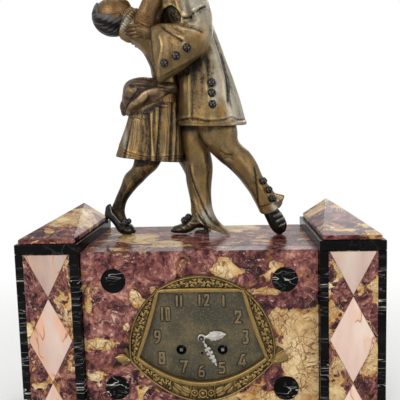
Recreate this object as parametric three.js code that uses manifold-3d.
// Figural mantel clock: a marble case of two pillars and a recessed body, a brass dial in a relief
// bezel, an eight-day movement with pendulum and bell, and a dancing couple cast in metal on top.
// Millimetres, +Z up. The clock faces -Y. The origin is the middle of the underside.
import * as THREE from "three";
import { ConvexGeometry } from "three/addons/geometries/ConvexGeometry.js";
import { mergeVertices } from "three/addons/utils/BufferGeometryUtils.js";
import Module from "manifold-3d";

const wasm = await Module();
wasm.setup();

// General fits
const GAP = 0.3; // between pieces that touch on the real clock
const OVERRUN = 5; // how far a cut runs past what it cuts
const MERGE = 0.001; // vertices closer than this are one
const WELD = 0.5; // how far a joined part sinks into its neighbour

// Case
const WIDTH = 410;
const DEPTH = 144;
const CASE_HEIGHT = 222;
const PILLAR_WIDTH = 71.4;
const BODY_RECESS = 8.2;
const BAR = 11.2; // thickness of a cap slab, and height of the bar under the fields
const STILE = 9.05;
const SLAB = 18; // front and top slabs of the body
const BASE_SLAB = 15;
const BACK_SLAB = 15;
const FIELD = 6; // thickness of the breccia field plates
const ONYX = 3;
const STONE_JOINT = 0.6; // breccia left round the onyx stones
const INLAY_RADIUS = 14;
const INLAY_THICK = 4;
const INLAY_INSET = 36.9; // from the pillar to an inlay's centre
const INLAY_DROP = 60.5; // below the middle of the case
const INLAY_RISE = 66;
const CAP_INSET = 4; // from the cap slab's sides to the cap
const CAP_FRONT_INSET = 2;
const CAP_RIM = 5;
const CAP_RISE = 25.5;

// Dial and bezel, seen from the front
const DIAL_X = 2;
const OPENING_TOP_HALF = 46.5;
const OPENING_RISE = 54;
const OPENING_BOTTOM_HALF = 71;
const OPENING_DROP = 22; // of its lower corners
const OPENING_SAG = 29; // of the lower edge, below its corners
const OPENING_HOLLOW = 1.6; // of the sides, towards the middle
const BEZEL_TOP_HALF = 49;
const BEZEL_RISE = 57;
const BEZEL_BOTTOM_HALF = 82;
const BEZEL_DROP = 27; // of its lower corners
const BEZEL_CROWN = 16; // bow of the upper edge
const BEZEL_SIDE_BOW = 12.5;
const BEZEL_SAG = 48;
const BEZEL_THICK = 3;
const FILLET_WIDTH = 5; // plain moulding round the opening
const FILLET_RISE = 2.5;
const RIM_WIDTH = 1.8; // thin moulding round the outside
const RIM_RISE = 1.4;
const RIBBON_LENGTH = 24;
const RIBBON_WIDTH = 9;
const RIBBON_TILT = 0.5; // radians
const DIAL_THICK = 1.5;
const DIAL_LAP = 3; // dial plate under the bezel
const DIAL_FOOT_RADIUS = 1.6;
const DIAL_FOOT_SPREAD = 38;
const WINDING_HOLE_RADIUS = 5.75;
const CENTRE_HOLE_RADIUS = 3.4;
const REGULATOR_HOLE_RADIUS = 1.4;
const REGULATOR_DROP = 19;

// Hands
const HOUR_HAND = 28;
const MINUTE_HAND = 36.6;
const HOUR_ANGLE = THREE.MathUtils.degToRad(82); // clockwise from twelve
const MINUTE_ANGLE = THREE.MathUtils.degToRad(153);
const HAND_THICK = 0.8;
const HAND_SPACE = 0.5;
const HOUR_LEAF_WIDTH = 9;
const MINUTE_LEAF_WIDTH = 6;
const HAND_STEM_WIDTH = 2.4;
const HAND_BOSS_RADIUS = 4.2;
const NUT_RADIUS = 3.2;
const NUT_THICK = 1.4;
const PIPE_RADIUS = 2.9;
const PIPE_WALL = 0.9;

// Movement: two round plates, wheels between them
const PLATE_RADIUS = 47;
const PLATE_THICK = 2;
const PLATE_SPACE = 25; // between the plates
const MOTION_SPACE = 8; // dial plate to front plate
const PLATE_PILLAR_RADIUS = 2.6;
const PLATE_PILLAR_SPREAD = 36;
const PLATE_PILLAR_RISE = 22;
const PLATE_PILLAR_DROP = 40;
const WINDING_SPREAD = 23.5;
const WINDING_DROP = 15;
const ARBOR_RADIUS = 1.1;
const RUNNING = 0.35; // clearance round a turning arbor
const WINDING_RADIUS = 2.4;
const WINDING_SQUARE = 3.4;
const DRUM_RADIUS = 16;
const DRUM_LENGTH = 12;
const GREAT_RADIUS = 18.5;
const WHEEL_THICK = 1.5;
const TOOTH = 0.9;
const TIP_GAP = 0.35; // between the tip circles of two wheels in mesh
const GREAT_TEETH = 48;
const INTERMEDIATE_RADIUS = 12.4;
const INTERMEDIATE_TEETH = 40;
const INTERMEDIATE_PINION_RADIUS = 3.1;
const CENTRE_WHEEL_RADIUS = 12.8;
const CENTRE_TEETH = 40;
const CENTRE_PINION_RADIUS = 2.5;
const THIRD_RADIUS = 11;
const THIRD_TEETH = 36;
const THIRD_PINION_RADIUS = 2.5;
const PINION_LEAVES = 8;
const ESCAPE_LEAVES = 6;
const ESCAPE_RADIUS = 9;
const ESCAPE_TEETH = 24;
const ESCAPE_TOOTH = 1.6;
const ESCAPE_PINION_RADIUS = 1.9;
const THIRD_BEARING = THREE.MathUtils.degToRad(110); // of its arbor, from the centre arbor
const ANCHOR_RISE = 11.6; // from the escape arbor to the anchor's
const ANCHOR_REACH = 9.4;
const ANCHOR_WEB = 2.2;
const PALLET_CLEAR = 0.8; // from the pallets to the escape wheel's tips
const CRUTCH_LENGTH = 34;
const CRUTCH_WIDTH = 2.4;
const CRUTCH_SPACE = 3; // back plate to crutch
const HOUR_WHEEL_RADIUS = 13;
const HOUR_WHEEL_TEETH = 36;

// Pendulum and its cock
const COCK_WIDTH = 16;
const COCK_HEIGHT = 9;
const COCK_REACH = 12;
const COCK_CHEEK = 3;
const PENDULUM_CLEAR = 17.4; // from its lower end to the base slab
const PENDULUM_ROD_RADIUS = 1.2;
const PENDULUM_SPACE = 9; // back plate to rod
const BOB_RADIUS = 17;
const BOB_THICK = 6;
const SPRING_WIDTH = 4;
const SPRING_THICK = 0.8;
const SPRING_LENGTH = 9;
const RATING_NUT_RADIUS = 3;
const RATING_NUT_LENGTH = 4;

// Strike
const BELL_RADIUS = 33;
const BELL_HEIGHT = 19;
const BELL_WALL = 1.6;
const BELL_RISE = 8; // bell's centre above the centre arbor
const BELL_SPACE = 23; // back plate to the bell's mouth
const BELL_POST_RADIUS = 2.2;
const BELL_POST_SPREAD = 22;
const BELL_POST_DEPTH = 6; // how far the post reaches into the bell before it turns in
const BELL_NUT_RADIUS = 4;
const HAMMER_HEAD_RADIUS = 4;
const HAMMER_HEAD_LENGTH = 8;
const HAMMER_CLEAR = 1;
const HAMMER_DROP = 18; // pivot below the bell's centre

// Back
const BACK_HOLE_RADIUS = 54;
const RING_RADIUS = 59;
const RING_WALL = 2;
const RING_THICK = 2.4;
const DOOR_THICK = 2;
const DOOR_SLOTS = 5;
const SLOT_WIDTH = 4;
const SLOT_LENGTH = 44;
const SLOT_PITCH = 11;
const HINGE_RADIUS = 2.4;
const HINGE_LENGTH = 12;
const STRAP_WIDTH = 8;
const STRAP_THICK = 2;
const LATCH_RADIUS = 3;
const LATCH_LENGTH = 7;
const LATCH_INSET = 8; // from the door's edge to the latch's axis

// Figures, measured in heads from the middle of the body's top
const HEAD_SHARE = 0.18713; // of the space between the pillars
const FIGURE_Y = DEPTH / 8;
const MAN_HEAD_TILT = 2.2; // radians
const WOMAN_HEAD_TILT = 0.14;
const LIMB_SIDES = 12;
const TORSO_SIDES = 16;
const SEAM = 0.35; // between two castings that meet
const POMPON_RADIUS = 4.2;
const STUD_RADIUS = 2.8;
const STUD_LENGTH = 14;

// Fineness of round shapes
const ROUND = 28;
const SMALL_ROUND = 10;
const BALL_SIDES = 7;
const SKULL_SIDES = 14;
const ARC_STEPS = 8;

// Places that follow from the sizes above
const FRONT_Y = -DEPTH / 2;
const BACK_Y = DEPTH / 2;
const SIDE_X = WIDTH / 2;
const INNER_X = SIDE_X - PILLAR_WIDTH;
const HEAD = 2 * INNER_X * HEAD_SHARE;
const DIAL_Z = CASE_HEIGHT / 2;
const OPENING_TOP = DIAL_Z + OPENING_RISE;
const OPENING_CORNER = DIAL_Z - OPENING_DROP;
const BEZEL_TOP = DIAL_Z + BEZEL_RISE;
const BEZEL_CORNER = DIAL_Z - BEZEL_DROP;
const INLAY_SPREAD = INNER_X - INLAY_INSET;
const INLAY_LOW = DIAL_Z - INLAY_DROP;
const INLAY_HIGH = DIAL_Z + INLAY_RISE;
const BODY_FRONT_Y = FRONT_Y + BODY_RECESS;
const BODY_TOP = CASE_HEIGHT - BAR;
const PANEL_HEIGHT = CASE_HEIGHT - 2 * BAR;
const SLAB_BACK_Y = BODY_FRONT_Y + SLAB;
const DIAL_FRONT_Y = BODY_FRONT_Y + GAP;
const DIAL_BACK_Y = DIAL_FRONT_Y + DIAL_THICK;
const BEZEL_BACK_Y = BODY_FRONT_Y - GAP;
const PLATE_FRONT_Y = DIAL_BACK_Y + MOTION_SPACE;
const TRAIN_FRONT_Y = PLATE_FRONT_Y + PLATE_THICK;
const TRAIN_BACK_Y = TRAIN_FRONT_Y + PLATE_SPACE;
const PLATE_BACK_Y = TRAIN_BACK_Y + PLATE_THICK;
const HOUR_HAND_Y = DIAL_FRONT_Y - 3 * HAND_SPACE - HAND_THICK;
const MINUTE_HAND_Y = HOUR_HAND_Y - HAND_SPACE - HAND_THICK;
const NUT_Y = MINUTE_HAND_Y - GAP - NUT_THICK;
const SLAB_HOLE_RADIUS = PLATE_RADIUS + STRAP_THICK + 3 * GAP;

// Materials
const finish = (color, roughness, metalness) => () =>
  new THREE.MeshStandardMaterial({ color, roughness, metalness });
const breccia = finish(0x8c5a5f, 0.25, 0);
const blackMarble = finish(0x17171a, 0.2, 0);
const pinkOnyx = finish(0xe8c3b4, 0.25, 0);
const bezelBrass = finish(0x8f7437, 0.45, 0.8);
const dialMetal = finish(0x5f5f55, 0.6, 0.6);
const brightMetal = finish(0xc9c6bd, 0.35, 0.9);
const movementBrass = finish(0xb8944a, 0.35, 0.9);
const steel = finish(0x8e9196, 0.35, 0.9);
const bellMetal = finish(0xa6a39a, 0.3, 0.9);
const bronze = finish(0x8c7546, 0.45, 0.7);
const skin = finish(0x9a6238, 0.45, 0.6);

// Solids
function toSolid(geometry) {
  const plain = geometry.index ? geometry.toNonIndexed() : geometry.clone();
  plain.deleteAttribute("normal");
  plain.deleteAttribute("uv");
  const merged = mergeVertices(plain, MERGE);
  const vertProperties = new Float32Array(merged.attributes.position.array);
  const triVerts = new Uint32Array(merged.index.array);
  return new wasm.Manifold(new wasm.Mesh({ numProp: 3, vertProperties, triVerts }));
}

function toGeometry(solid) {
  const { vertProperties, triVerts } = solid.getMesh();
  const geometry = new THREE.BufferGeometry();
  geometry.setAttribute("position", new THREE.BufferAttribute(new Float32Array(vertProperties), 3));
  geometry.setIndex(new THREE.BufferAttribute(new Uint32Array(triVerts), 1));
  geometry.computeVertexNormals();
  return geometry;
}

const join = (first, ...rest) => rest.reduce((sum, solid) => sum.add(solid), first);
const cut = (first, ...rest) => rest.reduce((left, solid) => left.subtract(solid), first);

// The largest connected body of a solid
function mainBody(solid) {
  const bodies = solid.decompose();
  return bodies.reduce((best, body) => (body.volume() > best.volume() ? body : best));
}

function block(x0, x1, y0, y1, z0, z1) {
  const geometry = new THREE.BoxGeometry(x1 - x0, y1 - y0, z1 - z0);
  geometry.translate((x0 + x1) / 2, (y0 + y1) / 2, (z0 + z1) / 2);
  return toSolid(geometry);
}

// A round bar along the depth of the clock
function bar(radius, y0, y1, x = 0, z = 0, sides = SMALL_ROUND) {
  const geometry = new THREE.CylinderGeometry(radius, radius, y1 - y0, sides);
  geometry.translate(x, (y0 + y1) / 2, z);
  return toSolid(geometry);
}

// A round bar standing upright
function post(radius, z0, z1, x, y, sides = SMALL_ROUND) {
  const geometry = new THREE.CylinderGeometry(radius, radius, z1 - z0, sides);
  geometry.rotateX(Math.PI / 2);
  geometry.translate(x, y, (z0 + z1) / 2);
  return toSolid(geometry);
}

// A flat outline of [x, z] points, given thickness along the depth of the clock
function plate(points, y0, y1) {
  const shape = new THREE.Shape(points.map(([x, z]) => new THREE.Vector2(x, z)));
  const geometry = new THREE.ExtrudeGeometry(shape, { depth: y1 - y0, bevelEnabled: false });
  geometry.rotateX(Math.PI / 2);
  geometry.translate(0, y1, 0);
  return toSolid(geometry);
}

const moved = (points, x, z) => points.map(([px, pz]) => [px + x, pz + z]);

function turned(points, angle) {
  const c = Math.cos(angle);
  const s = Math.sin(angle);
  return points.map(([x, z]) => [x * c + z * s, z * c - x * s]);
}

// Points of a circular arc from one point towards another, its middle standing off the chord
// on the left-hand side by rise; the last point is left out
function bowed([x0, z0], [x1, z1], rise, steps = ARC_STEPS) {
  const chord = Math.hypot(x1 - x0, z1 - z0);
  if (rise === 0) return [[x0, z0]];
  const radius = (chord * chord) / (8 * rise) + rise / 2;
  const half = Math.asin(chord / 2 / radius);
  const along = [(x1 - x0) / chord, (z1 - z0) / chord];
  const left = [-along[1], along[0]];
  const middle = [(x0 + x1) / 2 + left[0] * (rise - radius), (z0 + z1) / 2 + left[1] * (rise - radius)];
  return Array.from({ length: steps }, (_, step) => {
    const angle = half * ((2 * step) / steps - 1);
    const a = radius * Math.sin(angle);
    const b = radius * Math.cos(angle);
    return [middle[0] + along[0] * a + left[0] * b, middle[1] + along[1] * a + left[1] * b];
  });
}

// An outline moved outwards by a distance; its points run clockwise seen from the front
function widened(points, distance) {
  const count = points.length;
  return points.map(([x, z], i) => {
    const [px, pz] = points[(i + count - 1) % count];
    const [nx, nz] = points[(i + 1) % count];
    const before = new THREE.Vector2(x - px, z - pz).normalize();
    const after = new THREE.Vector2(nx - x, nz - z).normalize();
    const out = new THREE.Vector2(-before.y - after.y, before.x + after.x).normalize();
    const stretch = out.dot(new THREE.Vector2(-before.y, before.x));
    return [x + (out.x * distance) / stretch, z + (out.y * distance) / stretch];
  });
}

// The part as a list of named meshes
const part = new THREE.Group();
function add(name, material, solid) {
  const mesh = new THREE.Mesh(toGeometry(solid), material());
  mesh.name = name;
  part.add(mesh);
}

// Dial outlines, clockwise from the upper left corner
function openingOutline() {
  const topLeft = [DIAL_X - OPENING_TOP_HALF, OPENING_TOP];
  const topRight = [DIAL_X + OPENING_TOP_HALF, OPENING_TOP];
  const lowRight = [DIAL_X + OPENING_BOTTOM_HALF, OPENING_CORNER];
  const lowLeft = [DIAL_X - OPENING_BOTTOM_HALF, OPENING_CORNER];
  return [
    topLeft,
    ...bowed(topRight, lowRight, -OPENING_HOLLOW),
    ...bowed(lowRight, lowLeft, OPENING_SAG),
    ...bowed(lowLeft, topLeft, -OPENING_HOLLOW),
  ];
}

function bezelOutline() {
  const topLeft = [DIAL_X - BEZEL_TOP_HALF, BEZEL_TOP];
  const topRight = [DIAL_X + BEZEL_TOP_HALF, BEZEL_TOP];
  const lowRight = [DIAL_X + BEZEL_BOTTOM_HALF, BEZEL_CORNER];
  const lowLeft = [DIAL_X - BEZEL_BOTTOM_HALF, BEZEL_CORNER];
  return [
    ...bowed(topLeft, topRight, BEZEL_CROWN),
    ...bowed(topRight, lowRight, BEZEL_SIDE_BOW),
    ...bowed(lowRight, lowLeft, BEZEL_SAG),
    ...bowed(lowLeft, topLeft, BEZEL_SIDE_BOW),
  ];
}

// Case body
const inlayPlaces = [-1, 1].flatMap((side) =>
  [INLAY_LOW, INLAY_HIGH].map((z) => ({ x: side * INLAY_SPREAD, z, side }))
);

function caseBody() {
  const half = INNER_X - GAP;
  const dialSeat = plate(
    widened(openingOutline(), DIAL_LAP + GAP),
    BODY_FRONT_Y - OVERRUN,
    DIAL_BACK_Y + GAP
  );
  const pockets = inlayPlaces.map(({ x, z }) =>
    bar(INLAY_RADIUS + GAP, BODY_FRONT_Y - OVERRUN, BODY_FRONT_Y + INLAY_THICK + GAP, x, z, ROUND)
  );
  const movementHole = bar(
    SLAB_HOLE_RADIUS, BODY_FRONT_Y - OVERRUN, SLAB_BACK_Y + OVERRUN, DIAL_X, DIAL_Z, ROUND
  );
  add("front_slab", breccia,
    cut(block(-half, half, BODY_FRONT_Y, SLAB_BACK_Y, 0, BODY_TOP), dialSeat, movementHole, ...pockets));

  const studs = figureStuds().map(([x, y]) =>
    post(STUD_RADIUS + GAP, BODY_TOP - SLAB - OVERRUN, BODY_TOP + OVERRUN, x, y)
  );
  add("top_slab", breccia,
    cut(block(-half, half, SLAB_BACK_Y + GAP, BACK_Y, BODY_TOP - SLAB, BODY_TOP), ...studs));
  add("base_slab", breccia, block(-half, half, SLAB_BACK_Y + GAP, BACK_Y, 0, BASE_SLAB));

  const backHole = bar(
    BACK_HOLE_RADIUS, BACK_Y - BACK_SLAB - OVERRUN, BACK_Y + OVERRUN, DIAL_X, DIAL_Z, ROUND
  );
  const back = block(
    -half, half, BACK_Y - BACK_SLAB, BACK_Y, BASE_SLAB + GAP, BODY_TOP - SLAB - GAP
  );
  add("back_slab", breccia, cut(back, backHole));

  for (const { x, z, side } of inlayPlaces) {
    const name = `${z === INLAY_LOW ? "lower" : "upper"}_${side < 0 ? "left" : "right"}_inlay`;
    add(name, blackMarble,
      bar(INLAY_RADIUS, BODY_FRONT_Y, BODY_FRONT_Y + INLAY_THICK, x, z, ROUND));
  }
}

// Pillars: outlines of the onyx stones, clockwise from the front
const PANEL_HALF = PILLAR_WIDTH / 2 - STILE - 2 * GAP;

function stoneOutlines(x) {
  const half = PANEL_HALF - STONE_JOINT;
  const low = BAR + GAP;
  const high = BAR + PANEL_HEIGHT - GAP;
  const rise = (high - low) / 4;
  const joint = STONE_JOINT / 2;
  const middle = (low + high) / 2;
  return {
    bottom: [[x, low + rise - joint], [x + half, low + joint], [x - half, low + joint]],
    middle: [[x, high - rise - joint], [x + half, middle], [x, low + rise + joint], [x - half, middle]],
    top: [[x - half, high - joint], [x + half, high - joint], [x, high - rise + joint]],
  };
}

function pillar(side) {
  const name = side < 0 ? "left" : "right";
  const x = side * (SIDE_X - PILLAR_WIDTH / 2);
  const half = PILLAR_WIDTH / 2;
  const recess = block(
    x - half + STILE, x + half - STILE, FRONT_Y - OVERRUN, FRONT_Y + FIELD + GAP, BAR, BODY_TOP + OVERRUN
  );
  add(`${name}_pillar_block`, blackMarble,
    cut(block(x - half, x + half, FRONT_Y, BACK_Y, 0, BODY_TOP - GAP), recess));

  const stones = Object.entries(stoneOutlines(x));
  const field = block(x - PANEL_HALF - GAP, x + PANEL_HALF + GAP, FRONT_Y, FRONT_Y + FIELD,
    BAR + GAP, BAR + PANEL_HEIGHT - GAP);
  const pockets = stones.map(([, outline]) => plate(outline, FRONT_Y - OVERRUN, FRONT_Y + ONYX + GAP));
  add(`${name}_field_plate`, breccia, cut(field, ...pockets));
  for (const [place, outline] of stones) {
    add(`${name}_${place}_onyx`, pinkOnyx, plate(widened(outline, -GAP), FRONT_Y, FRONT_Y + ONYX));
  }

  add(`${name}_cap_slab`, blackMarble, block(x - half, x + half, FRONT_Y, BACK_Y, BODY_TOP, CASE_HEIGHT));
  add(`${name}_cap`, breccia, cap(x));
}

// A half pyramid on a low rim, its apex over the middle of the back edge
function cap(x) {
  const half = PILLAR_WIDTH / 2 - CAP_INSET;
  const z = CASE_HEIGHT + GAP;
  const corners = [];
  for (const level of [z, z + CAP_RIM]) {
    for (const px of [x - half, x + half]) {
      corners.push(new THREE.Vector3(px, FRONT_Y + CAP_FRONT_INSET, level));
      corners.push(new THREE.Vector3(px, BACK_Y - CAP_INSET, level));
    }
  }
  corners.push(new THREE.Vector3(x, BACK_Y - CAP_INSET, z + CAP_RISE));
  return toSolid(new ConvexGeometry(corners));
}

// Dial, bezel and hands
function ribbon(side) {
  const long = RIBBON_LENGTH / 2;
  const wide = RIBBON_WIDTH / 2;
  const end = side < 0 ? [[-long, 0], [-long + 2 * wide, wide]] : [[-long, wide]];
  const tail = side < 0 ? [[-long + 2 * wide, -wide]] : [[-long, -wide]];
  const outline = [...end, [long, wide], [long, -wide], ...tail];
  const points = side < 0 ? turned(outline, -RIBBON_TILT) : turned(outline, Math.PI - RIBBON_TILT);
  const x = DIAL_X + side * (BEZEL_BOTTOM_HALF - WELD);
  return plate(moved(points, x, BEZEL_CORNER + WELD), BEZEL_BACK_Y - BEZEL_THICK - WELD, BEZEL_BACK_Y);
}

function dial() {
  const opening = openingOutline();
  const outer = bezelOutline();
  const front = BEZEL_BACK_Y - BEZEL_THICK;
  const rim = cut(
    plate(outer, front - RIM_RISE, BEZEL_BACK_Y),
    plate(widened(outer, -RIM_WIDTH), front - RIM_RISE - OVERRUN, BEZEL_BACK_Y + OVERRUN)
  );
  const bezel = join(
    plate(outer, front, BEZEL_BACK_Y),
    rim,
    plate(widened(opening, FILLET_WIDTH), front - FILLET_RISE, BEZEL_BACK_Y),
    ribbon(-1),
    ribbon(1)
  );
  add("dial_bezel", bezelBrass,
    cut(bezel, plate(opening, front - FILLET_RISE - OVERRUN, BEZEL_BACK_Y + OVERRUN)));

  const holes = [
    [-WINDING_SPREAD, -WINDING_DROP, WINDING_HOLE_RADIUS],
    [WINDING_SPREAD, -WINDING_DROP, WINDING_HOLE_RADIUS],
    [0, 0, CENTRE_HOLE_RADIUS],
    [0, -REGULATOR_DROP, REGULATOR_HOLE_RADIUS],
  ].map(([x, z, radius]) =>
    bar(radius, DIAL_FRONT_Y - OVERRUN, DIAL_BACK_Y + OVERRUN, DIAL_X + x, DIAL_Z + z, SMALL_ROUND * 2)
  );
  const feet = [-1, 1].flatMap((x) => [-1, 1].map((z) => {
    const spread = (DIAL_FOOT_SPREAD * Math.SQRT1_2);
    return bar(DIAL_FOOT_RADIUS, DIAL_BACK_Y - WELD, PLATE_FRONT_Y - GAP,
      DIAL_X + x * spread, DIAL_Z + z * spread);
  }));
  const disc = cut(plate(widened(opening, DIAL_LAP), DIAL_FRONT_Y, DIAL_BACK_Y), ...holes);
  add("dial_plate", dialMetal, join(disc, ...feet));
}

// A leaf-shaped hand with toothed edges, pointing up from its boss
function handOutline(length, leafWidth) {
  const stem = HAND_STEM_WIDTH / 2;
  const leaf = leafWidth / 2;
  const rightShares = [
    [1, 0], [0.97, 0.12], [0.9, 0.3], [0.84, 0.62], [0.78, 0.5], [0.7, 0.95], [0.64, 0.72],
    [0.55, 1], [0.48, 0.7], [0.42, 0.35],
  ];
  const right = rightShares.map(([along, across]) => [leaf * across, length * along]);
  const left = right.slice(1).reverse().map(([x, z]) => [-x, z]);
  return [...right, [stem, 0], [-stem, 0], ...left];
}

function hand(name, length, leafWidth, angle, y, boreRadius) {
  const outline = moved(turned(handOutline(length, leafWidth), angle), DIAL_X, DIAL_Z);
  const boss = bar(HAND_BOSS_RADIUS, y, y + HAND_THICK, DIAL_X, DIAL_Z, 2 * SMALL_ROUND);
  const bore = bar(boreRadius, y - OVERRUN, y + HAND_THICK + OVERRUN, DIAL_X, DIAL_Z);
  add(name, brightMetal, cut(join(plate(outline, y, y + HAND_THICK), boss), bore));
}

function hands() {
  hand("hour_hand", HOUR_HAND, HOUR_LEAF_WIDTH, HOUR_ANGLE, HOUR_HAND_Y, PIPE_RADIUS + GAP);
  hand("minute_hand", MINUTE_HAND, MINUTE_LEAF_WIDTH, MINUTE_ANGLE, MINUTE_HAND_Y, ARBOR_RADIUS + GAP);
  add("hand_nut", movementBrass, cut(
    bar(NUT_RADIUS, NUT_Y, NUT_Y + NUT_THICK, DIAL_X, DIAL_Z),
    bar(ARBOR_RADIUS + GAP, NUT_Y - OVERRUN, NUT_Y + NUT_THICK + OVERRUN, DIAL_X, DIAL_Z)
  ));
}

// Wheels
function wheel(tipRadius, teeth, tooth, y, thick, x, z) {
  const outline = Array.from({ length: 2 * teeth }, (_, i) => {
    const radius = i % 2 === 0 ? tipRadius : tipRadius - tooth;
    const angle = (Math.PI * i) / teeth;
    return [radius * Math.sin(angle), radius * Math.cos(angle)];
  });
  return plate(moved(outline, DIAL_X + x, DIAL_Z + z), y, y + thick);
}

function arborBetweenPlates(x, z, radius = ARBOR_RADIUS) {
  return bar(radius, PLATE_FRONT_Y, PLATE_BACK_Y, DIAL_X + x, DIAL_Z + z);
}

const polar = (distance, angle) => [distance * Math.cos(angle), distance * Math.sin(angle)];

// Layers of the train, from the front plate backwards
const THIRD_LAYER_Y = TRAIN_FRONT_Y + 4 * WHEEL_THICK;
const ESCAPE_LAYER_Y = THIRD_LAYER_Y + 3 * WHEEL_THICK;
const DRUM_Y = TRAIN_FRONT_Y + WHEEL_THICK;
const GREAT_LAYER_Y = DRUM_Y + DRUM_LENGTH;
const CENTRE_LAYER_Y = GREAT_LAYER_Y + 2 * WHEEL_THICK;
const INTERMEDIATE_LAYER_Y = CENTRE_LAYER_Y + 2 * WHEEL_THICK;

// Arbor places, from the centre arbor
const barrelDistance = GREAT_RADIUS + TIP_GAP + INTERMEDIATE_PINION_RADIUS;
const centreDistance = INTERMEDIATE_RADIUS + TIP_GAP + CENTRE_PINION_RADIUS;
const windingDistance = Math.hypot(WINDING_SPREAD, WINDING_DROP);
const windingBearing = -Math.atan2(WINDING_DROP, WINDING_SPREAD);
const meshingAngle = Math.acos(
  (windingDistance ** 2 + centreDistance ** 2 - barrelDistance ** 2)
  / (2 * windingDistance * centreDistance)
);
const intermediatePlace = polar(centreDistance, windingBearing + meshingAngle);
const thirdPlace = polar(CENTRE_WHEEL_RADIUS + TIP_GAP + THIRD_PINION_RADIUS, THIRD_BEARING);
const escapeReach = THIRD_RADIUS + TIP_GAP + ESCAPE_PINION_RADIUS;
const escapePlace = [0, thirdPlace[1] + Math.sqrt(escapeReach ** 2 - thirdPlace[0] ** 2)];
const anchorPlace = [0, escapePlace[1] + ANCHOR_RISE];
const hammerPlace = [-BELL_RADIUS - 2 * HAMMER_HEAD_RADIUS, BELL_RISE - HAMMER_DROP];
const platePillars = [
  [-PLATE_PILLAR_SPREAD, PLATE_PILLAR_RISE],
  [PLATE_PILLAR_SPREAD, PLATE_PILLAR_RISE],
  [0, -PLATE_PILLAR_DROP],
];

function movementPlates() {
  const pivots = [[0, 0], intermediatePlace, thirdPlace, escapePlace, anchorPlace];
  const holes = (y0, y1) => [
    ...pivots.map(([x, z]) => bar(ARBOR_RADIUS + RUNNING, y0, y1, DIAL_X + x, DIAL_Z + z)),
    ...[-1, 1].map((side) => bar(WINDING_RADIUS + RUNNING, y0, y1,
      DIAL_X + side * WINDING_SPREAD, DIAL_Z - WINDING_DROP)),
  ];
  const front = cut(
    bar(PLATE_RADIUS, PLATE_FRONT_Y, TRAIN_FRONT_Y, DIAL_X, DIAL_Z, ROUND),
    ...holes(PLATE_FRONT_Y - OVERRUN, TRAIN_FRONT_Y + OVERRUN)
  );
  const pillars = platePillars.map(([x, z]) =>
    bar(PLATE_PILLAR_RADIUS, TRAIN_FRONT_Y - WELD, TRAIN_BACK_Y - GAP, DIAL_X + x, DIAL_Z + z));
  add("movement_front_plate", movementBrass, join(front, ...pillars));

  const hammerPivot = bar(ARBOR_RADIUS, TRAIN_BACK_Y + WELD, PLATE_BACK_Y + CRUTCH_SPACE,
    DIAL_X + hammerPlace[0], DIAL_Z + hammerPlace[1]);
  const back = cut(
    bar(PLATE_RADIUS, TRAIN_BACK_Y, PLATE_BACK_Y, DIAL_X, DIAL_Z, ROUND),
    ...holes(TRAIN_BACK_Y - OVERRUN, PLATE_BACK_Y + OVERRUN)
  );
  add("movement_back_plate", movementBrass, join(back, bellStand(), hammerPivot));
}

// The post that carries the bell: out from the plate, across inside the bell, out to its crown
function bellStand() {
  const z = DIAL_Z + BELL_RISE;
  const mouth = PLATE_BACK_Y + BELL_SPACE;
  const turn = mouth + BELL_POST_DEPTH;
  const radius = BELL_POST_RADIUS;
  const out = bar(radius, PLATE_BACK_Y - WELD, turn + radius, DIAL_X - BELL_POST_SPREAD, z);
  const across = block(
    DIAL_X - BELL_POST_SPREAD, DIAL_X, turn - radius, turn + radius, z - radius, z + radius
  );
  const tip = bar(radius, turn, mouth + BELL_HEIGHT - BELL_WALL - GAP, DIAL_X, z);
  return join(out, across, tip);
}

function barrels() {
  for (const [side, name] of [[1, "going"], [-1, "strike"]]) {
    const x = side * WINDING_SPREAD;
    const z = -WINDING_DROP;
    const drum = join(
      bar(DRUM_RADIUS, DRUM_Y, GREAT_LAYER_Y + WELD, DIAL_X + x, DIAL_Z + z, ROUND),
      wheel(GREAT_RADIUS, GREAT_TEETH, TOOTH, GREAT_LAYER_Y, WHEEL_THICK, x, z)
    );
    const bore = bar(WINDING_RADIUS + RUNNING, DRUM_Y - OVERRUN, GREAT_LAYER_Y + OVERRUN,
      DIAL_X + x, DIAL_Z + z);
    add(`${name}_barrel`, movementBrass, cut(drum, bore));

    const square = WINDING_SQUARE / 2;
    const end = block(DIAL_X + x - square, DIAL_X + x + square,
      DIAL_FRONT_Y, PLATE_FRONT_Y, DIAL_Z + z - square, DIAL_Z + z + square);
    const round = bar(WINDING_RADIUS, PLATE_FRONT_Y - 2 * WELD, PLATE_BACK_Y, DIAL_X + x, DIAL_Z + z);
    add(`${name}_winding_arbor`, steel, join(end, round));
  }
}

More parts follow.
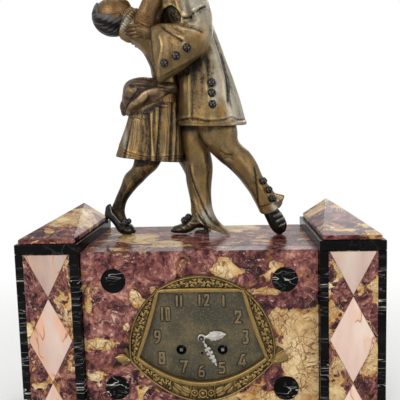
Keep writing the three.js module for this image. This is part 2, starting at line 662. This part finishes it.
function goingTrain() {
  const [ix, iz] = intermediatePlace;
  add("intermediate_wheel", movementBrass, join(
    arborBetweenPlates(ix, iz),
    wheel(INTERMEDIATE_PINION_RADIUS, PINION_LEAVES, TOOTH, GREAT_LAYER_Y, WHEEL_THICK, ix, iz),
    wheel(INTERMEDIATE_RADIUS, INTERMEDIATE_TEETH, TOOTH, INTERMEDIATE_LAYER_Y, WHEEL_THICK, ix, iz)
  ));

  const [tx, tz] = thirdPlace;
  add("centre_arbor", movementBrass, join(
    bar(ARBOR_RADIUS, NUT_Y - GAP, PLATE_BACK_Y, DIAL_X, DIAL_Z),
    wheel(CENTRE_WHEEL_RADIUS, CENTRE_TEETH, TOOTH, CENTRE_LAYER_Y, WHEEL_THICK, 0, 0),
    wheel(CENTRE_PINION_RADIUS, PINION_LEAVES, TOOTH, INTERMEDIATE_LAYER_Y, WHEEL_THICK, 0, 0)
  ));
  add("third_wheel", movementBrass, join(
    arborBetweenPlates(tx, tz),
    wheel(THIRD_PINION_RADIUS, PINION_LEAVES, TOOTH / 2, CENTRE_LAYER_Y, WHEEL_THICK, tx, tz),
    wheel(THIRD_RADIUS, THIRD_TEETH, TOOTH, THIRD_LAYER_Y, WHEEL_THICK, tx, tz)
  ));

  const [ex, ez] = escapePlace;
  add("escape_wheel", movementBrass, join(
    arborBetweenPlates(ex, ez),
    wheel(ESCAPE_PINION_RADIUS, ESCAPE_LEAVES, TOOTH / 2, THIRD_LAYER_Y, WHEEL_THICK, ex, ez),
    wheel(ESCAPE_RADIUS, ESCAPE_TEETH, ESCAPE_TOOTH, ESCAPE_LAYER_Y, WHEEL_THICK, ex, ez)
  ));

  const pipeFront = HOUR_HAND_Y - GAP / 2;
  const pipe = cut(
    join(
      bar(PIPE_RADIUS, pipeFront, PLATE_FRONT_Y - GAP, DIAL_X, DIAL_Z, 2 * SMALL_ROUND),
      wheel(HOUR_WHEEL_RADIUS, HOUR_WHEEL_TEETH, TOOTH, PLATE_FRONT_Y - 2 * WHEEL_THICK, WHEEL_THICK, 0, 0)
    ),
    bar(PIPE_RADIUS - PIPE_WALL, pipeFront - OVERRUN, PLATE_FRONT_Y + OVERRUN, DIAL_X, DIAL_Z)
  );
  add("hour_wheel", movementBrass, pipe);
}

// The anchor spans the upper quarter of the escape wheel; its arbor carries the crutch behind
function escapement() {
  const [ax, az] = anchorPlace;
  const inner = ESCAPE_RADIUS + PALLET_CLEAR;
  const outer = inner + ANCHOR_WEB;
  const steps = ARC_STEPS;
  const span = ANCHOR_REACH / inner;
  const arcPoints = (radius, from, to) => Array.from({ length: steps + 1 }, (_, i) => {
    const angle = from + ((to - from) * i) / steps;
    return [radius * Math.sin(angle), radius * Math.cos(angle)];
  });
  const outline = [...arcPoints(outer, -span, span), ...arcPoints(inner, span, -span)];
  const webBack = ESCAPE_LAYER_Y + WHEEL_THICK;
  const web = plate(moved(outline, DIAL_X, DIAL_Z + escapePlace[1]), ESCAPE_LAYER_Y, webBack);
  const hub = bar(ANCHOR_WEB, ESCAPE_LAYER_Y, webBack, DIAL_X + ax, DIAL_Z + az);
  const crutchY = PLATE_BACK_Y + CRUTCH_SPACE;
  const half = CRUTCH_WIDTH / 2;
  const arbor = bar(ARBOR_RADIUS, PLATE_FRONT_Y, crutchY + half, DIAL_X + ax, DIAL_Z + az);
  const rod = block(DIAL_X - half, DIAL_X + half, crutchY - half, crutchY + half,
    DIAL_Z + az - CRUTCH_LENGTH, DIAL_Z + az + half);
  const rodSurface = PLATE_BACK_Y + PENDULUM_SPACE - PENDULUM_ROD_RADIUS;
  const fork = block(DIAL_X - half, DIAL_X + half, crutchY, rodSurface - GAP,
    DIAL_Z + az - CRUTCH_LENGTH, DIAL_Z + az - CRUTCH_LENGTH + CRUTCH_WIDTH);
  add("pallet_anchor", steel, join(web, hub, arbor, rod, fork));

  const springY = PLATE_BACK_Y + PENDULUM_SPACE;
  const pivotZ = DIAL_Z + az;
  const cheekTop = pivotZ + COCK_HEIGHT;
  const slot = block(DIAL_X - SPRING_THICK, DIAL_X + SPRING_THICK, springY - SPRING_WIDTH,
    springY + SPRING_WIDTH, pivotZ - OVERRUN, cheekTop + OVERRUN);
  const left = DIAL_X - COCK_WIDTH / 2;
  const right = DIAL_X + COCK_WIDTH / 2;
  const seat = PLATE_BACK_Y + GAP;
  const cock = join(
    block(left, right, seat, PLATE_BACK_Y + COCK_REACH, cheekTop - COCK_CHEEK, cheekTop),
    block(left, right, seat, seat + COCK_CHEEK, pivotZ + COCK_CHEEK, cheekTop)
  );
  add("suspension_cock", movementBrass, cut(cock, slot));

  const rodTop = pivotZ - SPRING_LENGTH;
  const bottom = BASE_SLAB + PENDULUM_CLEAR;
  const bobZ = bottom + 2 * RATING_NUT_LENGTH + BOB_RADIUS;
  const nutZ = bobZ - BOB_RADIUS - RATING_NUT_LENGTH;
  add("pendulum", movementBrass, join(
    block(DIAL_X - SPRING_THICK / 4, DIAL_X + SPRING_THICK / 4, springY - SPRING_WIDTH / 2,
      springY + SPRING_WIDTH / 2, rodTop - WELD, cheekTop - GAP),
    post(PENDULUM_ROD_RADIUS, bottom, rodTop, DIAL_X, springY),
    bar(BOB_RADIUS, springY - BOB_THICK / 2, springY + BOB_THICK / 2, DIAL_X, bobZ, ROUND),
    post(RATING_NUT_RADIUS, nutZ - RATING_NUT_LENGTH / 2, nutZ + RATING_NUT_LENGTH / 2, DIAL_X, springY)
  ));
}

function strike() {
  const z = DIAL_Z + BELL_RISE;
  const mouth = PLATE_BACK_Y + BELL_SPACE;
  const outerShares = [[1, 0], [0.99, 0.3], [0.93, 0.6], [0.78, 0.85], [0.5, 1], [0, 1]];
  const outer = outerShares.map(([across, along]) =>
    new THREE.Vector2(BELL_RADIUS * across, BELL_HEIGHT * along));
  const innerRadius = BELL_RADIUS - BELL_WALL;
  const inner = outerShares.map(([across, along]) =>
    new THREE.Vector2(innerRadius * across, (BELL_HEIGHT - BELL_WALL) * along)).reverse();
  const shell = new THREE.LatheGeometry([...inner, ...outer], ROUND);
  shell.translate(DIAL_X, mouth, z);
  const crown = mouth + BELL_HEIGHT;
  const nut = bar(BELL_NUT_RADIUS, crown - WELD, crown + BELL_NUT_RADIUS, DIAL_X, z);
  add("bell", bellMetal, join(toSolid(shell), nut));

  const [hx, hz] = hammerPlace;
  const armY = PLATE_BACK_Y + CRUTCH_SPACE;
  const boss = cut(
    bar(ARBOR_RADIUS + 2 * RUNNING + WELD, PLATE_BACK_Y + GAP, mouth + WELD, DIAL_X + hx, DIAL_Z + hz),
    bar(ARBOR_RADIUS + RUNNING, PLATE_BACK_Y - OVERRUN, armY + RUNNING, DIAL_X + hx, DIAL_Z + hz)
  );
  const half = CRUTCH_WIDTH / 2;
  const headX = -BELL_RADIUS - HAMMER_CLEAR - HAMMER_HEAD_RADIUS;
  const arm = block(DIAL_X + hx - half, DIAL_X + hx + half, mouth - CRUTCH_WIDTH, mouth,
    DIAL_Z + hz, z);
  const head = bar(HAMMER_HEAD_RADIUS, mouth - HAMMER_HEAD_LENGTH / 2, mouth + HAMMER_HEAD_LENGTH / 2,
    DIAL_X + headX, z);
  add("strike_hammer", steel, join(boss, arm, head));
}

// Round door at the back, in a ring whose straps reach forward to the bezel
function back() {
  const innerRadius = BACK_HOLE_RADIUS - GAP - RING_WALL;
  const ringBack = BACK_Y + GAP + RING_THICK;
  const ring = cut(
    join(
      bar(RING_RADIUS, BACK_Y + GAP, ringBack, DIAL_X, DIAL_Z, ROUND),
      bar(BACK_HOLE_RADIUS - GAP, BACK_Y - BACK_SLAB, BACK_Y + GAP + WELD, DIAL_X, DIAL_Z, ROUND)
    ),
    bar(innerRadius, BACK_Y - BACK_SLAB - OVERRUN, ringBack + OVERRUN, DIAL_X, DIAL_Z, ROUND)
  );
  const strapIn = PLATE_RADIUS + GAP;
  const straps = [-1, 1].map((side) => {
    const x0 = DIAL_X + side * strapIn;
    const x1 = DIAL_X + side * (strapIn + STRAP_THICK);
    const x2 = DIAL_X + side * (innerRadius + WELD);
    const long = block(Math.min(x0, x1), Math.max(x0, x1), DIAL_BACK_Y + 2 * GAP, BACK_Y - BACK_SLAB / 2,
      DIAL_Z - STRAP_WIDTH / 2, DIAL_Z + STRAP_WIDTH / 2);
    const foot = block(Math.min(x0, x2), Math.max(x0, x2), BACK_Y - BACK_SLAB, BACK_Y - BACK_SLAB / 2,
      DIAL_Z - STRAP_WIDTH / 2, DIAL_Z + STRAP_WIDTH / 2);
    return join(long, foot);
  });
  const hingeX = DIAL_X + RING_RADIUS;
  const hingeY = ringBack + HINGE_RADIUS;
  const knuckles = [-1, 1].flatMap((end) => {
    const near = DIAL_Z + end * (HINGE_LENGTH / 2 + GAP);
    const far = DIAL_Z + end * (HINGE_LENGTH / 2 + HINGE_LENGTH);
    const z0 = Math.min(near, far);
    const z1 = Math.max(near, far);
    const leaf = block(hingeX - 2 * HINGE_RADIUS, hingeX, BACK_Y + GAP, hingeY, z0, z1);
    return [leaf, post(HINGE_RADIUS, z0, z1, hingeX, hingeY)];
  });
  const pin = post(HINGE_RADIUS / 2, DIAL_Z - HINGE_LENGTH, DIAL_Z + HINGE_LENGTH, hingeX, hingeY);
  add("door_ring", movementBrass, join(ring, ...straps, ...knuckles, pin));

  const doorY = ringBack + GAP;
  const doorRadius = innerRadius + RING_WALL;
  const tongue = block(DIAL_X + doorRadius - 3 * WELD, hingeX, doorY, doorY + DOOR_THICK,
    DIAL_Z - HINGE_LENGTH / 2, DIAL_Z + HINGE_LENGTH / 2);
  const slots = Array.from({ length: DOOR_SLOTS }, (_, i) => {
    const z = DIAL_Z + (i - (DOOR_SLOTS - 1) / 2) * SLOT_PITCH;
    return block(DIAL_X - SLOT_LENGTH / 2, DIAL_X + SLOT_LENGTH / 2,
      doorY - OVERRUN, doorY + DOOR_THICK + OVERRUN, z - SLOT_WIDTH / 2, z + SLOT_WIDTH / 2);
  });
  const latchX = DIAL_X - doorRadius + LATCH_INSET;
  const door = join(
    bar(doorRadius, doorY, doorY + DOOR_THICK, DIAL_X, DIAL_Z, ROUND),
    tongue,
    post(HINGE_RADIUS, DIAL_Z - HINGE_LENGTH / 2, DIAL_Z + HINGE_LENGTH / 2, hingeX, hingeY)
  );
  add("rear_door", movementBrass, cut(
    door,
    ...slots,
    post(HINGE_RADIUS / 2 + GAP, DIAL_Z - HINGE_LENGTH, DIAL_Z + HINGE_LENGTH, hingeX, hingeY),
    bar(LATCH_RADIUS / 2 + GAP, doorY - OVERRUN, doorY + DOOR_THICK + OVERRUN, latchX, DIAL_Z)
  ));

  const tongueY = doorY - GAP - DOOR_THICK;
  add("door_latch", movementBrass, join(
    bar(LATCH_RADIUS, doorY + DOOR_THICK + GAP, doorY + DOOR_THICK + LATCH_LENGTH, latchX, DIAL_Z),
    bar(LATCH_RADIUS / 2, tongueY, doorY + DOOR_THICK + 2 * GAP, latchX, DIAL_Z),
    block(latchX - LATCH_RADIUS / 2, latchX + LATCH_RADIUS / 2, tongueY, doorY - GAP,
      DIAL_Z - LATCH_RADIUS, DIAL_Z + LATCH_RADIUS)
  ));
}

// Figures. A row of a table is one oval section of a limb: the side view's two contour points,
// then the section's middle and half depth along Y: [x, z, x, z, y, half depth], all in heads.
function loft(rowShares, sides, grow) {
  const rings = rowShares.map(([ax, az, bx, bz, y, deep]) => {
    const a = new THREE.Vector3(ax * HEAD, 0, az * HEAD);
    const b = new THREE.Vector3(bx * HEAD, 0, bz * HEAD);
    const across = b.clone().sub(a).multiplyScalar(0.5);
    const middle = a.add(b).multiplyScalar(0.5).add(new THREE.Vector3(0, FIGURE_Y + y * HEAD, BODY_TOP));
    across.setLength(across.length() + grow);
    return { middle, across, deep: deep * HEAD + grow };
  });
  const last = rings.length - 1;
  const startStep = rings[0].middle.clone().sub(rings[1].middle).setLength(grow);
  const endStep = rings[last].middle.clone().sub(rings[last - 1].middle).setLength(grow);
  rings[0].middle.add(startStep);
  rings[last].middle.add(endStep);

  const points = [];
  for (const { middle, across, deep } of rings) {
    for (let k = 0; k < sides; k += 1) {
      const angle = (2 * Math.PI * k) / sides;
      const point = middle.clone().addScaledVector(across, Math.cos(angle));
      point.y += deep * Math.sin(angle);
      points.push(point);
    }
  }
  points.push(rings[0].middle, rings[last].middle);
  const faces = [];
  for (let k = 0; k < sides; k += 1) {
    const next = (k + 1) % sides;
    for (let i = 0; i < last; i += 1) {
      const low = i * sides;
      const high = low + sides;
      faces.push([low + k, low + next, high + next], [low + k, high + next, high + k]);
    }
    faces.push([points.length - 2, next, k]);
    faces.push([points.length - 1, last * sides + k, last * sides + next]);
  }
  const turn = rings[0].across.clone().cross(new THREE.Vector3(0, 1, 0));
  const travel = rings[last].middle.clone().sub(rings[0].middle);
  const order = turn.dot(travel) > 0 ? faces : faces.map(([i, j, k]) => [i, k, j]);
  const geometry = new THREE.BufferGeometry().setFromPoints(points);
  geometry.setIndex(order.flat());
  return toSolid(geometry);
}

function ball([x, y, z], radius, grow) {
  const geometry = new THREE.SphereGeometry(radius + grow, BALL_SIDES, BALL_SIDES - 3);
  geometry.translate(x * HEAD, FIGURE_Y + y * HEAD, BODY_TOP + z * HEAD);
  return toSolid(geometry);
}

// An egg-shaped head, its long axis tilted in the side view
function egg([x, y, z, longHalf, shortHalf, wideHalf], tilt, grow) {
  const geometry = new THREE.SphereGeometry(1, SKULL_SIDES, SKULL_SIDES / 2 + 1);
  geometry.scale(longHalf * HEAD + grow, wideHalf * HEAD + grow, shortHalf * HEAD + grow);
  geometry.rotateY(-tilt);
  geometry.translate(x * HEAD, FIGURE_Y + y * HEAD, BODY_TOP + z * HEAD);
  return toSolid(geometry);
}

// Man: leans forward, to the left
const smockShares = [
  [-0.76, 6.26, -0.28, 6.06, 0, 0.26],
  [-1.02, 5.94, 0.24, 5.94, 0, 0.54],
  [-0.98, 5.54, 0.4, 5.42, 0, 0.54],
  [-0.8, 5.02, 0.56, 4.96, 0, 0.48],
  [-0.6, 4.5, 0.72, 4.46, 0, 0.48],
  [-0.54, 3.84, 0.9, 3.84, 0, 0.54],
  [-0.52, 3.32, 1.08, 3.32, 0, 0.6],
  [-0.56, 2.88, 1.2, 2.84, 0, 0.66],
];
const manRuffShares = [
  [-1.1, 6.1, -0.5, 6.5, 0, 0.36],
  [-1.0, 5.96, -0.36, 6.38, 0, 0.42],
  [-0.9, 5.86, -0.3, 6.22, 0, 0.36],
];
const nearSleeveShares = [
  [-1.06, 5.16, -0.92, 3.8, -0.64, 0.26],
  [-0.72, 5.18, -0.6, 4.0, -0.66, 0.3],
  [-0.32, 5.18, -0.1, 4.28, -0.68, 0.3],
  [-0.08, 5.26, 0.28, 4.6, -0.68, 0.28],
  [0, 5.38, 0.52, 4.86, -0.62, 0.27],
  [-0.16, 5.66, 0.54, 5.22, -0.54, 0.26],
  [-0.22, 5.92, 0.4, 5.68, -0.44, 0.24],
  [-0.14, 6.06, 0.22, 5.92, -0.34, 0.2],
];
const nearHandShares = [
  [-0.9, 5.08, -0.9, 4.82, -0.62, 0.13],
  [-1.1, 5.12, -1.1, 4.84, -0.6, 0.13],
  [-1.34, 5.22, -1.34, 4.9, -0.56, 0.13],
  [-1.6, 5.2, -1.58, 4.96, -0.44, 0.1],
];
const farArmShares = [
  [-0.1, 6.06, 0.18, 5.92, 0.34, 0.14],
  [-0.22, 5.96, 0.28, 5.7, 0.52, 0.22],
  [-0.5, 5.7, -0.2, 5.26, 0.64, 0.24],
  [-0.96, 5.34, -0.8, 4.94, 0.6, 0.22],
  [-1.44, 5.16, -1.36, 4.86, 0.5, 0.16],
  [-1.74, 5.08, -1.7, 4.9, 0.36, 0.1],
];
const frontLegShares = [
  [-0.5, 3.1, 0.34, 3.1, 0.12, 0.34],
  [-0.48, 2.38, 0.26, 2.28, 0.14, 0.32],
  [-0.46, 1.86, 0.28, 1.78, 0.14, 0.3],
  [-0.42, 1.3, 0.24, 1.28, 0.14, 0.28],
  [-0.36, 0.88, 0.24, 0.88, 0.12, 0.28],
  [-0.32, 0.58, 0.32, 0.54, 0.08, 0.32],
  [-0.22, 0.3, 0.5, 0.26, 0.02, 0.36],
  [-0.08, 0.08, 0.74, 0.02, -0.02, 0.4],
];
const frontShoeShares = [
  [-0.86, 0.1, -0.84, 0.01, 0.12, 0.05],
  [-0.74, 0.18, -0.72, 0.01, 0.11, 0.13],
  [-0.54, 0.3, -0.52, 0.01, 0.09, 0.17],
  [-0.3, 0.42, -0.28, 0.01, 0.08, 0.17],
  [0, 0.44, 0, 0.01, 0.06, 0.16],
  [0.1, 0.4, 0.1, 0.01, 0.06, 0.12],
];
const rearLegShares = [
  [-0.14, 3.1, 0.86, 3.2, -0.18, 0.34],
  [0.02, 2.46, 0.96, 2.68, -0.2, 0.34],
  [0.24, 2.18, 1, 2.38, -0.2, 0.34],
  [0.5, 1.92, 1.26, 2.12, -0.18, 0.32],
  [0.86, 1.6, 1.44, 1.82, -0.16, 0.3],
  [1.2, 1.16, 1.6, 1.44, -0.12, 0.28],
  [1.34, 0.84, 1.94, 1.02, -0.1, 0.3],
  [1.44, 0.58, 2.1, 0.82, -0.09, 0.32],
];
const rearShoeShares = [
  [1.42, 0.94, 1.82, 1.1, -0.1, 0.13],
  [1.56, 0.6, 1.94, 0.72, -0.09, 0.13],
  [1.66, 0.34, 2.08, 0.38, -0.09, 0.15],
  [1.82, 0.08, 2.14, 0.18, -0.09, 0.13],
  [1.92, 0.01, 2.06, 0.04, -0.09, 0.06],
];

// Woman: leans back, her face turned up
const bodiceShares = [
  [-1.04, 3.7, -0.46, 3.7, 0.04, 0.36],
  [-1.14, 4.04, -0.5, 4.04, 0.04, 0.38],
  [-1.22, 4.38, -0.5, 4.5, 0.04, 0.38],
  [-1.4, 4.7, -0.62, 4.94, 0.04, 0.42],
  [-1.68, 4.98, -0.94, 5.34, 0.04, 0.46],
  [-1.8, 5.14, -1.3, 5.6, 0.04, 0.36],
];
const womanRuffShares = [
  [-1.84, 4.96, -1.34, 5.66, 0.04, 0.36],
  [-1.92, 5.1, -1.44, 5.74, 0.04, 0.42],
  [-1.94, 5.2, -1.52, 5.74, 0.04, 0.34],
];
const womanArmShares = [
  [-1.48, 5.38, -1, 5.1, -0.4, 0.18],
  [-1.38, 5.56, -0.9, 5.46, -0.44, 0.2],
  [-1.2, 5.88, -0.76, 5.82, -0.44, 0.18],
  [-1, 6.18, -0.68, 6.08, -0.38, 0.16],
  [-0.76, 6.42, -0.52, 6.26, -0.28, 0.14],
];
const womanFarArmShares = [
  [-1.4, 5.36, -1, 5.06, 0.4, 0.18],
  [-1.34, 5.56, -0.88, 5.44, 0.46, 0.19],
  [-1.18, 5.88, -0.76, 5.8, 0.46, 0.17],
  [-0.98, 6.16, -0.68, 6.06, 0.4, 0.15],
  [-0.74, 6.4, -0.5, 6.24, 0.3, 0.13],
];
const sashShares = [
  [-2.02, 3.54, -1.94, 3.1, 0, 0.24],
  [-1.92, 3.84, -1.76, 3.06, 0, 0.44],
  [-1.72, 4.04, -1.46, 3.1, 0, 0.56],
  [-1.44, 4.14, -1.14, 3.2, 0, 0.6],
  [-1.12, 4.1, -0.86, 3.36, 0, 0.58],
  [-0.84, 4, -0.6, 3.6, 0, 0.46],
];
const skirtShares = [
  [-1.76, 3.22, -0.5, 3.7, 0, 0.44],
  [-1.88, 2.88, -0.48, 3.28, 0, 0.48],
  [-1.98, 2.62, -0.46, 2.94, 0, 0.52],
  [-2.16, 2.24, -0.44, 2.38, 0, 0.58],
  [-2.18, 2.08, -0.44, 1.88, 0, 0.62],
];
const nearLegShares = [
  [-1.68, 2.1, -0.92, 2.04, 0.1, 0.26],
  [-1.76, 1.8, -1.14, 1.72, 0.1, 0.26],
  [-1.96, 1.58, -1.44, 1.46, 0.1, 0.24],
  [-2.08, 1.28, -1.76, 1.16, 0.11, 0.2],
  [-2.24, 0.92, -1.98, 0.9, 0.12, 0.16],
  [-2.3, 0.76, -2.04, 0.68, 0.12, 0.13],
  [-2.26, 0.64, -2.02, 0.5, 0.12, 0.12],
];
const womanShoeShares = [
  [-2.34, 0.8, -2.52, 0.6, 0.12, 0.1],
  [-2.08, 0.66, -2.4, 0.42, 0.12, 0.13],
  [-1.96, 0.46, -2.24, 0.18, 0.13, 0.14],
  [-1.82, 0.3, -2.12, 0.02, 0.15, 0.15],
  [-1.72, 0.18, -1.92, 0.01, 0.16, 0.13],
  [-1.7, 0.06, -1.74, 0.01, 0.16, 0.06],
];
const heelShares = [
  [-2.4, 0.62, -2.52, 0.62, 0.12, 0.06],
  [-2.42, 0.38, -2.52, 0.4, 0.12, 0.04],
];
const farLegShares = [
  [-1.04, 2.36, -0.54, 2.2, 0.24, 0.22],
  [-0.66, 1.94, -0.24, 1.74, 0.46, 0.22],
  [-0.42, 1.46, 0, 1.38, 0.6, 0.2],
  [-0.34, 0.9, 0, 0.84, 0.66, 0.17],
  [-0.26, 0.5, 0, 0.46, 0.66, 0.13],
];
const farShoeShares = [
  [-0.28, 0.56, -0.1, 0.62, 0.66, 0.12],
  [-0.3, 0.3, -0.02, 0.3, 0.66, 0.13],
  [-0.24, 0.02, 0.16, 0.12, 0.66, 0.14],
  [0.02, 0.01, 0.22, 0.04, 0.66, 0.1],
];

// A head: its middle, then half its length, height and width
const manHeadShares = [-1.3, 0, 6.62, 0.54, 0.44, 0.42];
const womanHeadShares = [-2.07, 0, 5.59, 0.56, 0.48, 0.42];
const manNeckShares = [
  [-1.16, 6.34, -0.84, 6.6, 0, 0.2],
  [-0.9, 6, -0.5, 6.3, 0, 0.2],
];
const womanNeckShares = [
  [-1.84, 5.34, -1.6, 5.66, 0.02, 0.18],
  [-1.7, 5.2, -1.4, 5.5, 0.02, 0.18],
];

// Pompons: places in heads
const smockPomponShares = [[0.38, -0.62, 3.84], [0.38, -0.64, 3.54], [0.4, -0.66, 3.24]];
const sleevePomponShares = [[-0.74, -0.92, 4.3], [-0.46, -0.96, 4.48], [-0.2, -0.96, 4.6]];
const rearPomponShares = [[1.62, -0.38, 1.36], [1.74, -0.38, 1.14], [1.86, -0.38, 0.92]];
const frontShoePomponShare = [-0.46, 0.09, 0.4];
const womanShoePomponShare = [-1.9, 0.14, 0.4];

const studShares = [[-0.3, 0.08], [-1.94, 0.15]];

function figureStuds() {
  return studShares.map(([x, y]) => [x * HEAD, FIGURE_Y + y * HEAD]);
}

const limb = (rowShares) => (grow) => loft(rowShares, LIMB_SIDES, grow);
const torso = (rowShares) => (grow) => loft(rowShares, TORSO_SIDES, grow);
const pompon = (placeShare) => (grow) => ball(placeShare, POMPON_RADIUS, grow);
const headOf = (shares, tilt) => (grow) => egg(shares, tilt, grow);

// Each casting, in the order in which the earlier one keeps its shape where two meet
function castings() {
  return [
    ["man_smock", bronze, [torso(smockShares), torso(manRuffShares), ...smockPomponShares.map(pompon)]],
    ["woman_sash", bronze, [torso(sashShares)]],
    ["woman_skirt", bronze, [torso(skirtShares)]],
    ["man_near_sleeve", bronze, [limb(nearSleeveShares), ...sleevePomponShares.map(pompon)]],
    ["woman_bodice", bronze, [torso(bodiceShares), torso(womanRuffShares), limb(womanFarArmShares)]],
    ["man_head", skin, [headOf(manHeadShares, MAN_HEAD_TILT), limb(manNeckShares)]],
    ["woman_head", skin, [headOf(womanHeadShares, WOMAN_HEAD_TILT), limb(womanNeckShares)]],
    ["man_near_hand", skin, [limb(nearHandShares)]],
    ["woman_near_arm", skin, [limb(womanArmShares)]],
    ["man_far_arm", bronze, [limb(farArmShares)]],
    ["man_rear_leg", bronze, [limb(rearLegShares), limb(rearShoeShares), ...rearPomponShares.map(pompon)]],
    ["man_front_leg", bronze, [limb(frontLegShares), limb(frontShoeShares), pompon(frontShoePomponShare)]],
    ["woman_near_leg", skin, [limb(nearLegShares), limb(womanShoeShares), limb(heelShares),
      pompon(womanShoePomponShare)]],
    ["woman_far_leg", skin, [limb(farLegShares), limb(farShoeShares)]],
  ];
}

function figures() {
  const reach = SIDE_X;
  const ground = block(-reach, reach, -reach, reach, BODY_TOP - OVERRUN - SLAB, BODY_TOP + GAP);
  const studs = figureStuds().map(([x, y]) =>
    post(STUD_RADIUS, BODY_TOP - STUD_LENGTH, BODY_TOP + STUD_RADIUS, x, y)
  );
  const studOwners = ["man_front_leg", "woman_near_leg"];
  const taken = [];
  for (const [name, material, shapes] of castings()) {
    const whole = join(...shapes.map((shape) => shape(0)));
    let solid = mainBody(cut(whole, ground, ...taken));
    const owner = studOwners.indexOf(name);
    if (owner >= 0) solid = join(solid, studs[owner]);
    add(name, material, solid);
    taken.push(...shapes.map((shape) => shape(SEAM)));
  }
}

caseBody();
pillar(-1);
pillar(1);
dial();
hands();
movementPlates();
barrels();
goingTrain();
escapement();
strike();
back();
figures();

export default part;
